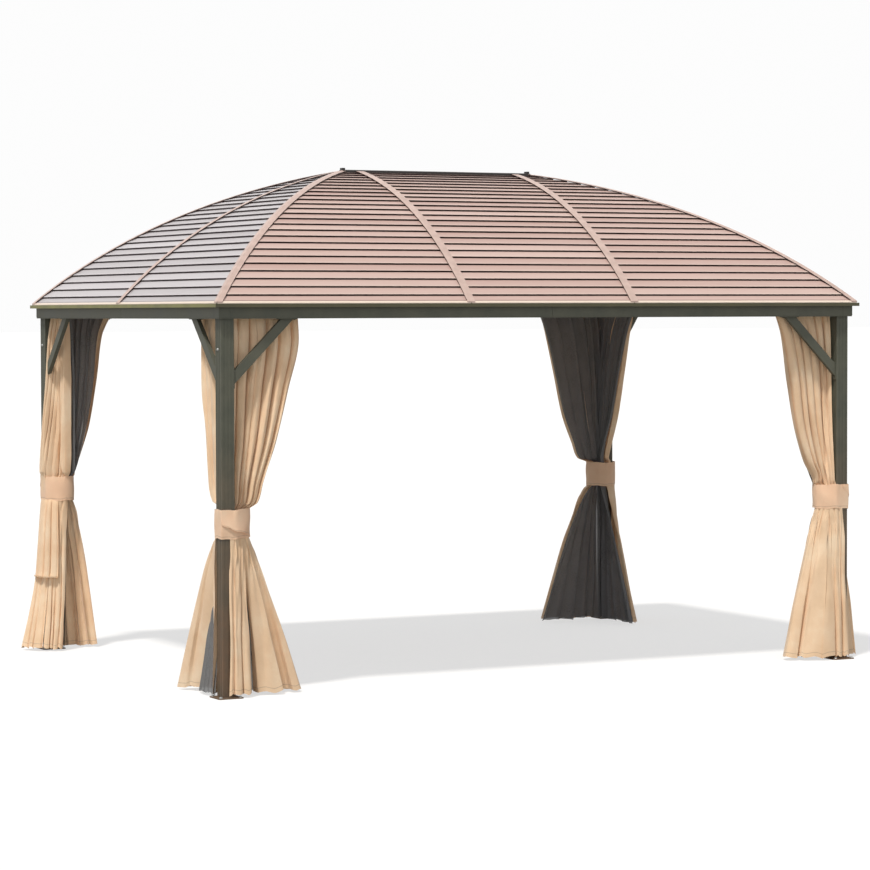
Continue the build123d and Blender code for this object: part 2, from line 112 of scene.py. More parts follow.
# %% The arc of the roof
EAVE_X, EAVE_Y, EAVE_Z = 2.113, 1.500, 2.182
RIDGE_X, RIDGE_Z = 0.637, 2.992
SLATS = 26
BOW = math.radians(17.9)
END_SCALE = (EAVE_X - RIDGE_X) / EAVE_Y
RISE = RIDGE_Z - EAVE_Z
ARC_RADIUS = math.hypot(EAVE_Y, RISE) / (2 * math.sin(BOW))
EAVE_SLOPE = math.atan2(RISE, EAVE_Y) + BOW
ARC_IN = ARC_RADIUS * math.sin(EAVE_SLOPE)
ARC_Z = EAVE_Z - ARC_RADIUS * math.cos(EAVE_SLOPE)
print("slat pitch along the arc:", round(2000 * BOW * ARC_RADIUS / SLATS, 1), "mm")

# %% [markdown]
# A point's place on the arc is an angle. The end bays follow the same arc, stretched a little along
# X, so the smaller of the two distances from the eave is the one that counts.


# %% The strip at a point
def strip_at(tree, x, y, z):
    """How many strips up from the eave a point lies. The fraction says how far up its strip."""
    far_x = add(tree, "Math", {0: x}, operation="ABSOLUTE")
    far_y = add(tree, "Math", {0: y}, operation="ABSOLUTE")
    in_y = add(tree, "Math", {0: EAVE_Y, 1: far_y}, operation="SUBTRACT")
    end_x = add(tree, "Math", {0: EAVE_X, 1: far_x}, operation="SUBTRACT")
    in_x = add(tree, "Math", {0: end_x, 1: END_SCALE}, operation="DIVIDE")
    inward = add(tree, "Math", {0: in_x, 1: in_y}, operation="MINIMUM")
    run = add(tree, "Math", {0: ARC_IN, 1: inward}, operation="SUBTRACT")
    height = add(tree, "Math", {0: z, 1: ARC_Z}, operation="SUBTRACT")
    slope = add(tree, "Math", {0: run, 1: height}, operation="ARCTAN2")
    turned = add(tree, "Math", {0: EAVE_SLOPE, 1: slope}, operation="SUBTRACT")
    return add(tree, "Math", {0: turned, 1: SLATS / (2 * BOW)}, operation="MULTIPLY")


print("strips to an arc of", round(math.degrees(2 * BOW), 1), "degrees:", SLATS)

# %% [markdown]
# The hollow under a nose faces outward and down, which no other visible face of the sheet does, so
# its normal tells it apart, and it gets painted shade. The top of each strip, where it goes in
# under the next one, gets painted shade as well, which widens the dark line there.

# %% The dark line at a lap
LAP_STARTS, LAP_ENDS = 0.895, 0.93


def lap_shadow(tree, x, y, facing, across):
    """How much painted shade a point gets, from 0 to 1, because it lies under the nose of a strip.
    """
    # The hollow under a nose gets painted shade.
    down = add(tree, "Math", {0: facing.outputs[2], 1: -0.08}, operation="LESS_THAN")
    side_y = add(tree, "Math", {0: facing.outputs[1], 1: y}, operation="MULTIPLY")
    side_x = add(tree, "Math", {0: facing, 1: x}, operation="MULTIPLY")
    outward = add(tree, "Math", {0: side_x, 1: side_y}, operation="MAXIMUM")
    out = add(tree, "Math", {0: outward, 1: 0.004}, operation="GREATER_THAN")
    hollow = add(tree, "Math", {0: down, 1: out}, operation="MULTIPLY")
    # Painted shade on the top of each strip, under the nose of the next.
    contact_shade = add(tree, "MapRange",
               {"Value": across, "From Min": LAP_STARTS, "From Max": LAP_ENDS,
                "To Max": 0.97})
    return add(tree, "Math", {0: hollow, 1: contact_shade}, operation="MAXIMUM")


print("the line takes up", round(100 * (1 - LAP_STARTS)), "percent of a strip")

# %% [markdown]
# Each strip came off the coil with its own slight tone, which white noise gives from the strip's
# number, and has a grain along its length, which is noise drawn out along the strip. The lowest
# strip ends in a lip of bare primer, pale, with painted shade along the crease just above it.

# %% Tones along a strip, and the lip at the eave
LIP_TOP, CREASE_Z, CREASE_HALF = EAVE_Z + 0.0095, EAVE_Z + 0.0130, 0.0025


def grained_paint(tree, x, y, strip, low, high):
    """Two tones of baked paint, mixed strip by strip and along a fine grain."""
    number = add(tree, "Math", {0: strip}, operation="FLOOR")
    bay = add(tree, "ObjectInfo")
    seed = add(tree, "CombineXYZ", {"X": number, "Y": bay.outputs["Random"]})
    tone = add(tree, "TexWhiteNoise", {"Vector": seed}, noise_dimensions="3D")
    along = add(tree, "Math", {0: x, 1: y}, operation="ADD")
    grain_place = add(tree, "CombineXYZ", {"X": along, "Y": strip, "Z": bay.outputs["Random"]})
    stretched = add(tree, "VectorMath",
                    {0: grain_place, 1: (2.2, 7.0, 40.0)}, operation="MULTIPLY")
    grain = add(tree, "TexNoise",
                {"Vector": stretched, "Scale": 1.0, "Detail": 4.0, "Roughness": 0.6})
    mixed = add(tree, "Math", {0: tone.outputs["Value"], 1: grain}, operation="ADD")
    half = add(tree, "Math", {0: mixed, 1: 0.5}, operation="MULTIPLY")
    paint = add(tree, "ValToRGB", {0: half}, ramp=((0.15, low), (0.85, high)))
    return paint, grain


def eave_lip(tree, z, paint_and_shade):
    """The paint, with painted shade at the crease and the pale lip of the lowest strip over it."""
    lip = add(tree, "Math", {0: z, 1: LIP_TOP}, operation="LESS_THAN")
    # A thin line of painted shade along the crease above the lip.
    crease = add(tree, "Math", {0: z, 1: CREASE_Z, 2: CREASE_HALF}, operation="COMPARE")
    crease_shade = add(tree, "Math", {0: crease, 1: 0.5}, operation="MULTIPLY")
    crease_shaded = add(tree, "Mix", {"Factor": crease_shade, 6: paint_and_shade.outputs[2], 7: colour("#5A3A33")},
                  data_type="RGBA")
    return add(tree, "Mix", {"Factor": lip, 6: crease_shaded.outputs[2], 7: colour("#E2D2C3")},
               data_type="RGBA")


print("lip of bare primer:", round(1000 * (LIP_TOP - EAVE_Z), 1), "mm high")

# %% [markdown]
# Baked polyester paint is smooth and semi-matt, with the index of refraction of plastic. The rolled
# nose, the lowest quarter of a strip, is painted paler: a painted highlight where its curve catches
# the light. The long sides are a rose beige. The end bays get cooler, greyer tones of their own, a
# painted reflection of the sky that they catch at a slant.


# %% Coil coated steel of the slats
def painted_slats(name, low, high, nose_highlight_tone):
    """Baked polyester paint on rolled steel strips: semi-matt, grained along the strip."""
    material, tree, shader = start_material(name, Roughness=0.42, Metallic=0.0, IOR=1.5)
    place = add(tree, "NewGeometry")
    spot = add(tree, "SeparateXYZ", {0: place.outputs["Position"]})
    facing = add(tree, "SeparateXYZ", {0: place.outputs["True Normal"]})
    x, y, z = spot.outputs
    strip = strip_at(tree, x, y, z)
    across = add(tree, "Math", {0: strip}, operation="FRACT")
    paint, grain = grained_paint(tree, x, y, strip, low, high)
    # A painted highlight on the rolled nose, where its curve catches the light.
    nose = add(tree, "MapRange", {"Value": across, "From Min": 0.26, "From Max": 0.06})
    painted_highlight = add(tree, "Math", {0: nose, 1: 0.5}, operation="MULTIPLY")
    paler = add(tree, "Mix", {"Factor": painted_highlight, 6: paint, 7: colour(nose_highlight_tone)}, data_type="RGBA")
    # Painted shade under each nose and at the top of each strip.
    shaded = lap_shadow(tree, x, y, facing, across)
    paint_and_shade = add(tree, "Mix", {"Factor": shaded, 6: paler.outputs[2], 7: colour("#240F0C")},
                 data_type="RGBA")
    edged = eave_lip(tree, z, paint_and_shade)
    tree.links.new(edged.outputs[2], shader.inputs["Base Color"])

    # The sheet is rolled round at the nose, and its surface has slight waves along the grain.
    rolled = add(tree, "MapRange", {"Value": across, "From Min": 0.0, "From Max": 0.16},
                 interpolation_type="SMOOTHERSTEP")
    waves = add(tree, "Math", {0: grain, 1: 0.12}, operation="MULTIPLY")
    relief = add(tree, "Math", {0: rolled, 1: waves}, operation="ADD")
    bump = add(tree, "Bump", {"Height": relief, "Strength": 0.35, "Distance": 0.004})
    tree.links.new(bump.outputs[0], shader.inputs["Normal"])
    return material


slat_coat = painted_slats("coil_coated_steel_rose_beige", "#B4968E", "#CAB1A9", "#D5C5BA")
# The end bays' cooler, greyer tones are a painted reflection of the sky.
end_bay_reflection_coat = painted_slats("coil_coated_steel_end_bays_sky_reflection", "#A9A4A7", "#C2BEC2", "#CCC8CC")
print("slat materials:", slat_coat.name, end_bay_reflection_coat.name)

# %% [markdown]
# The cap strips cover the seams between the bays. They are the same painted steel, folded down at
# both long edges, so from the side the gap under each fold is in shade. The shader paints that
# shade onto the upright faces of the folds, and leaves out the foot at the eave, which is in the
# light.
# The ridge cap is painted nearly black.

# %% Caps and ridge
CAP_FOOT = 0.012


def painted_caps(name, high, low, gap):
    """Painted steel strip with folded edges. The upright folds get painted shade for the gap under
    them.
    """
    material, tree, shader = start_material(name, Roughness=0.4, IOR=1.5)
    place = add(tree, "NewGeometry")
    facing = add(tree, "SeparateXYZ", {0: place.outputs["True Normal"]})
    spot = add(tree, "SeparateXYZ", {0: place.outputs["Position"]})
    # The upright faces of the folds get painted shade, in the colour of the gap.
    upright = add(tree, "Math", {0: facing.outputs[2]}, operation="ABSOLUTE")
    fold = add(tree, "Math", {0: upright, 1: 0.3}, operation="LESS_THAN")
    above_foot = add(tree, "Math", {0: spot.outputs[2], 1: EAVE_Z + CAP_FOOT},
                     operation="GREATER_THAN")
    dark = add(tree, "Math", {0: fold, 1: above_foot}, operation="MULTIPLY")
    grain = add(tree, "TexNoise",
                {"Vector": place.outputs["Position"], "Scale": 22.0, "Detail": 5.0})
    paint = add(tree, "ValToRGB", {0: grain}, ramp=((0.3, low), (0.7, high)))
    paint_and_shade = add(tree, "Mix", {"Factor": dark, 6: paint, 7: colour(gap)}, data_type="RGBA")
    tree.links.new(paint_and_shade.outputs[2], shader.inputs["Base Color"])
    bump = add(tree, "Bump", {"Height": grain, "Strength": 0.12, "Distance": 0.002})
    tree.links.new(bump.outputs[0], shader.inputs["Normal"])
    return material


cap_coat = painted_caps("coil_coated_steel_pale_cap", "#C8B0A7", "#B69E95", "#33211F")
ridge_coat = painted_caps("coil_coated_steel_dark_ridge", "#3C3734", "#2F2B29", "#262221")
print("cap materials:", cap_coat.name, ridge_coat.name)

# %% [markdown]
# Posts, beams, braces, gutters and curtain tracks are aluminium with a baked powder coat. Powder
# melts into a skin like fine orange peel, semi-matt, and it holds dust. The shader makes it browner
# in patches from breast height down to the ground. The real peel is about a millimetre wide, too
# fine for the picture, so it is drawn four times as coarse. The gutters at the ends are painted a
# paler olive than the long ones, as painted sunlight, and the long ones darker, as painted shade.

# %% Powder coated aluminium
PEEL_WIDE = 0.004
BROWNER_FROM, BROWNER_SHARE = 1.5, 0.85


def powder_coat(name, base, light, low_brown):
    """Baked powder on aluminium: fine orange peel, semi-matt, browner in patches near the ground.
    """
    material, tree, shader = start_material(name, Roughness=0.5, IOR=1.5)
    place = add(tree, "NewGeometry")
    spot = add(tree, "SeparateXYZ", {0: place.outputs["Position"]})
    peel = add(tree, "TexNoise",
               {"Vector": place.outputs["Position"], "Scale": 1 / PEEL_WIDE, "Detail": 2.0})
    blotch = add(tree, "TexNoise",
                 {"Vector": place.outputs["Position"], "Scale": 7.0, "Detail": 4.0,
                  "Roughness": 0.65})
    paint = add(tree, "ValToRGB", {0: blotch}, ramp=((0.35, base), (0.7, light)))
    # Browner in patches from breast height down to the ground.
    low = add(tree, "MapRange",
              {"Value": spot.outputs[2], "From Min": BROWNER_FROM, "From Max": 0.0,
               "To Max": BROWNER_SHARE})
    browner = add(tree, "Math", {0: low, 1: blotch}, operation="MULTIPLY")
    browned = add(tree, "Mix", {"Factor": browner, 6: paint, 7: colour(low_brown)}, data_type="RGBA")
    tree.links.new(browned.outputs[2], shader.inputs["Base Color"])
    rough = add(tree, "MapRange", {"Value": blotch, "To Min": 0.42, "To Max": 0.62})
    tree.links.new(rough.outputs[0], shader.inputs["Roughness"])
    bump = add(tree, "Bump", {"Height": peel, "Strength": 0.12, "Distance": 0.0006})
    tree.links.new(bump.outputs[0], shader.inputs["Normal"])
    return material


frame_coat = powder_coat("powder_coat_bronze_grey", "#4A4D43", "#57584C", "#84573A")
# The long gutters are painted darker, as painted shade.
gutter_coat = powder_coat("powder_coat_olive_bronze_painted_shade", "#474532", "#514E38", "#7A6650")
# The end gutters are painted paler, as painted sunlight.
gutter_sunlit_coat = powder_coat("powder_coat_olive_painted_sunlit", "#73724A", "#8A8858", "#7A6650")
rail_metal = powder_coat("powder_coat_track_bronze", "#57524A", "#645E54", "#7A6650")
print("frame materials:", frame_coat.name, gutter_coat.name, gutter_sunlit_coat.name)

# %% [markdown]
# The record of the part says which slot each metal solid has, and a slot has one coat here. The
# end bays and the end gutters are the two cases where the ends differ from the long sides: the end
# bays get a painted sky reflection, and the end gutters painted sunlight.

# %% Give the imported metal parts their coats
COATS = {
    "frame_coat": frame_coat,
    "gutter_coat": gutter_coat,
    "slat_coat": slat_coat,
    "cap_coat": cap_coat,
    "ridge_coat": ridge_coat,
    "rail_metal": rail_metal,
}
for part in frame["record"]["subparts"]:
    coat = COATS.get(part["material_slot"])
    # The end bays take the copy with the painted sky reflection.
    if part["node"].startswith(("roof_slats_left_end", "roof_slats_right_end")):
        coat = end_bay_reflection_coat
    # The end gutters take the copy with the painted sunlight.
    if part["node"].startswith(("gutter_left", "gutter_right")):
        coat = gutter_sunlit_coat
    if coat:
        node = frame["nodes"][part["node"]]
        node.data.materials.clear()
        node.data.materials.append(coat)

# %% [markdown]
# The curtains are plain woven polyester, dyed sand, that the sun shines through a little. A thread
# is about half a millimetre, which no picture of the whole gazebo can show, so the weave is drawn
# with threads four millimetres apart and very faint. Every piece of cloth has a UV map in metres of
# the flat cloth, so the threads keep their size in every fold, and the one line of stitches that
# holds the hem follows the hem. A share of translucent shader lets the light through.

# %% Woven cloth
FLAT_MAP = "ClothFlat"
THREAD = 0.004
STITCHES_UP, STITCH_HALF = 0.025, 0.0025
SUN_THROUGH = 0.12


def woven_cloth(name, base, light, warm):
    """Dyed polyester plain weave: matt, slightly hairy, thin enough to glow against the sun."""
    material, tree, shader = start_material(name, Roughness=0.9, IOR=1.45)
    shader.inputs["Sheen Weight"].default_value = 0.25
    shader.inputs["Sheen Roughness"].default_value = 0.6
    flat = add(tree, "UVMap", uv_map=FLAT_MAP)
    spot = add(tree, "SeparateXYZ", {0: flat})
    place = add(tree, "NewGeometry")
    warp = add(tree, "TexWave", {"Vector": flat, "Scale": 0.314 / THREAD, "Distortion": 0.4},
               bands_direction="X")
    weft = add(tree, "TexWave", {"Vector": flat, "Scale": 0.314 / THREAD, "Distortion": 0.4},
               bands_direction="Y")
    weave = add(tree, "Math", {0: warp.outputs[1], 1: weft.outputs[1]}, operation="MULTIPLY")
    drift = add(tree, "TexNoise",
                {"Vector": place.outputs["Position"], "Scale": 5.0, "Detail": 5.0,
                 "Roughness": 0.6})
    dye = add(tree, "ValToRGB", {0: drift}, ramp=((0.32, base), (0.68, light)))
    middle = dye.color_ramp.elements.new(0.5)
    middle.color = colour(warm)
    threads = add(tree, "MapRange", {"Value": weave, "To Min": 0.93, "To Max": 1.03})
    # The stitches of the doubled hem pull a fine darker line.
    hem = add(tree, "Math", {0: spot.outputs[1], 1: STITCHES_UP, 2: STITCH_HALF},
              operation="COMPARE")
    shade = add(tree, "MapRange", {"Value": hem, "To Min": 1.0, "To Max": 0.78})
    both = add(tree, "Math", {0: threads, 1: shade}, operation="MULTIPLY")
    tint = add(tree, "VectorMath", {0: dye, "Scale": both}, operation="SCALE")
    tree.links.new(tint.outputs[0], shader.inputs["Base Color"])
    bump = add(tree, "Bump", {"Height": weave, "Strength": 0.15, "Distance": 0.0006})
    tree.links.new(bump.outputs[0], shader.inputs["Normal"])
    glow = add(tree, "BsdfTranslucent", {"Color": tint})
    cloth = add(tree, "MixShader", {0: SUN_THROUGH, 1: shader, 2: glow})
    tree.links.new(cloth.outputs[0], tree.nodes["Material Output"].inputs["Surface"])
    return material


curtain_cloth = woven_cloth("polyester_weave_sand", "#F0CEA9", "#FEE5C6", "#F8D8B5")
band_cloth = woven_cloth("polyester_weave_band", "#F6CDAC", "#FEDFC1", "#FAD5B5")
print("cloth materials:", curtain_cloth.name, band_cloth.name)

# %% [markdown]
# The netting is knitted polyester in charcoal, with holes about two millimetres wide. Single holes
# don't show at this distance. Gathered in folds the netting reads as a dark veil, so it is nearly
# opaque here and lets about an eighth of what is behind it through. Cells three times as wide as
# the real ones, drawn very faint, keep it from looking like sheet.

# %% Knitted netting
NET_CELL = 0.006
NET_COVERS = 0.88


def knitted_net(name, base, light):
    """Knitted mesh, matt and dark, that lets some of what is behind it show."""
    material, tree, shader = start_material(name, Roughness=0.95, IOR=1.45)
    flat = add(tree, "UVMap", uv_map=FLAT_MAP)
    cells = add(tree, "TexVoronoi", {"Vector": flat, "Scale": 1 / NET_CELL}, feature="F1")
    place = add(tree, "NewGeometry")
    drift = add(tree, "TexNoise",
                {"Vector": place.outputs["Position"], "Scale": 9.0, "Detail": 4.0})
    both = add(tree, "Math", {0: drift, 1: cells.outputs["Distance"]}, operation="ADD")
    dye = add(tree, "ValToRGB", {0: both}, ramp=((0.4, base), (11 / 12, light)))
    tree.links.new(dye.outputs[0], shader.inputs["Base Color"])
    shader.inputs["Alpha"].default_value = NET_COVERS
    return material


net_mesh = knitted_net("polyester_net_charcoal", "#5B5C5E", "#7A7B7D")
print("net material:", net_mesh.name)

# %% [markdown]
# A gathered curtain is easiest to build from its folds. Every fold line is a crest or a valley,
# with its own path from the rail to the hem. The paths are spread along the rail, crowd together
# under the tie band, and fan out below it. The cloth is then a smooth surface passed through them
# in turn. That keeps the folds continuous from rail to hem, which a noise texture on a plain
# sheet wouldn't, and it follows a given outline, which a cloth simulation wouldn't.
# Places are given in millimetres from the post's inner corner: p along the beam, q inward. Each
# band was tied by hand. So each corner has the heights of its band's edges, low and top, and how
# full its bundle is beside the one at the front left.

# %% Where the cloth hangs
POST_IN_X, POST_IN_Y = 1.993, 1.380
RAIL_Z, HEM_Z = 2.112, 0.016
CORNERS = {
    "front_left": (-1, -1),
    "front_right": (1, -1),
    "back_left": (-1, 1),
    "back_right": (1, 1),
}
TIED = {
    "front_left": (0.882, 1.042, 1.00),
    "front_right": (0.923, 1.070, 0.70),
    "back_left": (0.946, 1.098, 0.72),
    "back_right": (0.931, 1.092, 1.08),
}


def place(corner, side, points):
    """Puts points of one wing in the frame. Their p and q are millimetres, and z is metres."""
    sx, sy = CORNERS[corner]
    p, q = points[..., 0] / 1000, points[..., 1] / 1000
    if side == "short":
        p, q = q, p
    return np.stack([sx * (POST_IN_X - p), sy * (POST_IN_Y - q), points[..., 2]], axis=-1)


print("corners to dress:", ", ".join(CORNERS))

# %% [markdown]
# A plain smooth curve runs past its points where they change direction, which puts a pinch above
# a tight band. The curve used here takes at each knot a mean of the slopes on both sides, and goes
# level where they change direction, so it never runs past a knot. The pull lowers its slopes.


# %% A smooth line that doesn't overshoot
def smooth_through(values, knots, steps, pull):
    """Points of a smooth line through the values, with so many steps from knot to knot."""
    fit = (-1,) + (1,) * (values.ndim - 1)
    gap = np.diff(knots).reshape(fit)
    slope = np.diff(values, axis=0) / gap
    same_way = slope[:-1] * slope[1:] > 0
    under = (2 * gap[1:] + gap[:-1]) * slope[1:] + (gap[1:] + 2 * gap[:-1]) * slope[:-1]
    mean = 3 * (gap[1:] + gap[:-1]) * slope[:-1] * slope[1:] / np.where(same_way, under, 1)
    inside = np.where(same_way, mean, 0)
    lean = np.concatenate([slope[:1], inside, slope[-1:]]) * (1 - pull)
    t = np.linspace(0, 1, steps, endpoint=False).reshape(fit)
    out = []
    for k in range(len(gap)):
        a, b, m, n = values[k], values[k + 1], lean[k] * gap[k], lean[k + 1] * gap[k]
        out.append((2 * t**3 - 3 * t**2 + 1) * a + (t**3 - 2 * t**2 + t) * m
                   + (3 * t**2 - 2 * t**3) * b + (t**3 - t**2) * n)
    return np.concatenate(out + [values[-1:]])


line = smooth_through(np.array([0.0, 0.0, 1.0, 1.0]), np.arange(4), 8, 0.0)
print("the line stays between", line.min(), "and", line.max())

# %% [markdown]
# Every cloth is a grid of points, so one function turns a grid into a mesh with quads and a UV map
# in metres of the flat cloth.


# %% A mesh from a grid
def mesh_of(name, grid, widths, material, closed=False):
    """A smooth mesh from a grid of points, with a UV map in metres of the flat cloth."""
    rows, columns = grid.shape[:2]
    faces, corners = [], []
    for r in range(rows - 1):
        for c in range(columns - (0 if closed else 1)):
            d = (c + 1) % columns
            faces.append((r * columns + c, r * columns + d, (r + 1) * columns + d,
                          (r + 1) * columns + c))
            corners += [(c, r), (c + 1, r), (c + 1, r + 1), (c, r + 1)]
    mesh = bpy.data.meshes.new(name)
    mesh.from_pydata(grid.reshape(-1, 3).tolist(), [], faces)
    flat = mesh.uv_layers.new(name=FLAT_MAP)
    across, down = widths
    uv = [value for c, r in corners for value in (across[c], down[r])]
    flat.data.foreach_set("uv", uv)
    mesh.polygons.foreach_set("use_smooth", [True] * len(faces))
    mesh.materials.append(material)
    piece = bpy.data.objects.new(name, mesh)
    bpy.context.scene.collection.objects.link(piece)
    return piece


def along_line(points):
    """How far along a line each of its points lies, from the first one on."""
    legs = np.linalg.norm(np.diff(points, axis=0), axis=1)
    return np.concatenate([[0], np.cumsum(legs)])


def area_of(piece):
    """The area of a piece of cloth in square metres."""
    return sum(face.area for face in piece.data.polygons)


print("each cloth gets the UV map", FLAT_MAP)

# %% [markdown]
# A curtain hangs in broad flat pleats with a narrow valley between each two, not in even waves.
# So a pleat gets four fold lines: three share out its broad front and the fourth is the valley.
# The rows of fold lines follow a path seen from above: straight along the rail, then narrow and
# wrapped round the bundle at the band, then wide again at the hem. Every point of a path has a
# depth, which says how far the folds swing out and in there, square to the path. Its direction is
# measured over LOOK_AHEAD millimetres to both sides, which rounds its corners.

# %% Pleats on a path
LOOK_AHEAD = 15


def pleat_shares(count, seed):
    """Shares of a width's fold lines, four to a pleat, and how far out each one lies."""
    chance = np.random.default_rng(seed)
    widths = chance.uniform(0.5, 1.5, count)
    edges = np.concatenate([[0], np.cumsum(widths)]) / widths.sum()
    shares, out = [], []
    for a, b in zip(edges, edges[1:]):
        size = chance.uniform(0.75, 1.15)
        shares += [a + (b - a) * part for part in (0.0, 0.38, 0.78, 0.9)]
        out += [0.45 * size, 1.0 * size, 0.55 * size, -1.0 * size]
    return np.array(shares + [1.0]), np.array(out + [0.2])


def row_on(path, shares, out, height):
    """Fold lines of one level: points on the path, moved out or in by the depth of the folds."""
    path = np.array(path, float)
    if path.shape[1] == 2:
        # A path without depths gives its folds one by one, in order.
        at = np.linspace(0, len(path) - 1, len(shares))
        spots = [np.interp(at, range(len(path)), path[:, k]) for k in range(2)]
        return np.stack(spots + [np.full(len(shares), height)], axis=1)
    length = along_line(path[:, :2])
    at = shares * length[-1]
    p, q, depth = (np.interp(at, length, path[:, k]) for k in range(3))
    ahead = np.stack([np.interp(at + LOOK_AHEAD, length, path[:, k])
                      - np.interp(at - LOOK_AHEAD, length, path[:, k]) for k in range(2)], axis=1)
    ahead /= np.linalg.norm(ahead, axis=1)[:, None]
    return np.stack([p + ahead[:, 1] * depth * out, q - ahead[:, 0] * depth * out,
                     np.full(len(shares), height)], axis=1)


def round_bundle(full, start=0):
    """The path under a band's lower edge: over the post's face, then round the bundle."""
    far = [(52, -60, 4), (102, -22, 5), (121, 14, 5), (120, 44, 4)]
    return [(start, -83, 2), (0.3, -82, 3)] + [
        (p * full, q * full if q > 0 else q, depth) for p, q, depth in far]


print("fold lines of a width with three pleats:", len(pleat_shares(3, 1)[0]))

# %% [markdown]
# Above the band the fold lines wander a little, as pleats drawn by hand do, but not at the rail,
# where hooks hold them, or at the band. Below it they spread from the waist to the hem, at levels
# that are shares of that drop. The skirt stays slim for longer where late is higher, and puff
# springs it out right under the band.

# %% Rows above and below the band
DROPS = (0.0, 0.025, 0.09, 0.22, 0.42, 0.66, 1.0)


def fan_rows(fan, heights, spread, share, out, chance):
    """Rows of fold lines from the rail down to the band."""
    wander = 0.35 * (share[1] - share[0]) / len(spread)
    rows = []
    for height, path in zip(heights, fan):
        loose = 0.0 if height in (heights[0], heights[-1]) else wander
        at = np.clip(spread + loose * chance.uniform(-1, 1, len(spread)), 0, 1)
        rows.append(row_on(path, at, out * chance.uniform(0.75, 1.1, len(out)), height))
    return np.array(rows)


def skirt_rows(waist, hem, late, puff, chance):
    """Rows of fold lines from the waist, under the band, down to the hem."""
    rows = []
    for t in DROPS:
        away = t**late + 0.16 * t * (1 - t) + puff * (1 - t) * (1 - math.exp(-t / 0.04))
        row = waist + (hem - waist) * np.array([away, away, t])
        row[:, :2] += chance.uniform(-6, 6, (len(waist), 2)) * (t > 0.05) * (t < 1)
        rows.append(row)
    return np.array(rows)


print("rows below the band:", len(DROPS))

# %% [markdown]
# Cloth that is drawn together is never quite smooth. Eight slanting waves, each with its own width,
# give it fine creases, strongest close to the band and none under it. At the rail the heading tape
# pulls the cloth into small even gathers.

# %% Creases and gathers
CREASES = 8
HEAD_DEPTH = 4.5


def add_creases(grid, pleats, middle, chance):
    """Moves the points of a hanging cloth in and out by a few millimetres."""
    columns = np.linspace(0, 1, grid.shape[1])[None, :]
    height = grid[..., 2]
    away = np.clip(np.abs(height - middle) / 0.08 - 1.0, 0, 1)
    held = np.clip((RAIL_Z - height) / 0.2, 0, 1)
    near = np.exp(-np.abs(height - middle) / 0.35) + 0.3
    for _ in range(CREASES):
        turns, lean = chance.uniform(3, 6) * pleats, chance.uniform(-8, 8)
        ripple = np.sin(2 * math.pi * (turns * columns / 2 + lean * height / 2)
                        + chance.uniform(0, 6.3))
        grid[..., 1] += chance.uniform(0.4, 1.3) * ripple * near * away * held
    head = np.exp(-(RAIL_Z - height) / 0.09) * np.clip((RAIL_Z - height) / 0.02, 0, 1)
    grid[..., 1] += HEAD_DEPTH * head * np.sin(2 * math.pi * 2.5 * pleats * columns)


print("waves of creases:", CREASES)

# %% [markdown]
# The rows become cloth in two goes: along each row from fold to fold, and then down the cloth. The
# parts above and below the band are passed through apart, so that the band can bend it sharply.

# %% One width of gathered cloth
RAIL_FAN = (RAIL_Z, 1.98, 1.70, 1.42)


def gathered(name, corner, side, paths, pleats, share, material, seed, puff, late, steps=6):
    """One width of cloth from its paths: eight down to the band, one under it, one at the hem."""
    fan, waist_path, hem_path = paths
    low, top, full = TIED[corner]
    heights = (*RAIL_FAN, top + 0.14, top + 0.03, top + 0.004, top - 0.01)
    chance = np.random.default_rng(seed)
    shares, out = pleat_shares(pleats, seed)
    spread = share[0] + (share[1] - share[0]) * shares
    above = fan_rows(fan, heights, spread, share, out, chance)
    waist = row_on(waist_path, spread, out * 0.8, low)
    hem = row_on(hem_path, shares, out, HEM_Z)
    hem[:, 2] += chance.uniform(-0.006, 0.012, len(shares))
    below = skirt_rows(waist, hem, late, puff, chance)
    grid = []
    for rows, knots in ((above, -np.array(heights)), (below, np.array(DROPS))):
        across = np.stack([smooth_through(row, shares, steps, 0.1) for row in rows])
        grid.append(smooth_through(across, knots, 10, 0.05))
    grid = np.concatenate(grid)
    add_creases(grid, pleats, (low + top) / 2, chance)
    world = place(corner, side, grid)
    along = along_line(world[-1])
    down = world[:, :, 2].mean(axis=1) - world[-1, :, 2].mean()
    return mesh_of(name, world, (along, down), material)


print("levels of one width:", len(RAIL_FAN) + 4, "from the rail to the band, then", len(DROPS))
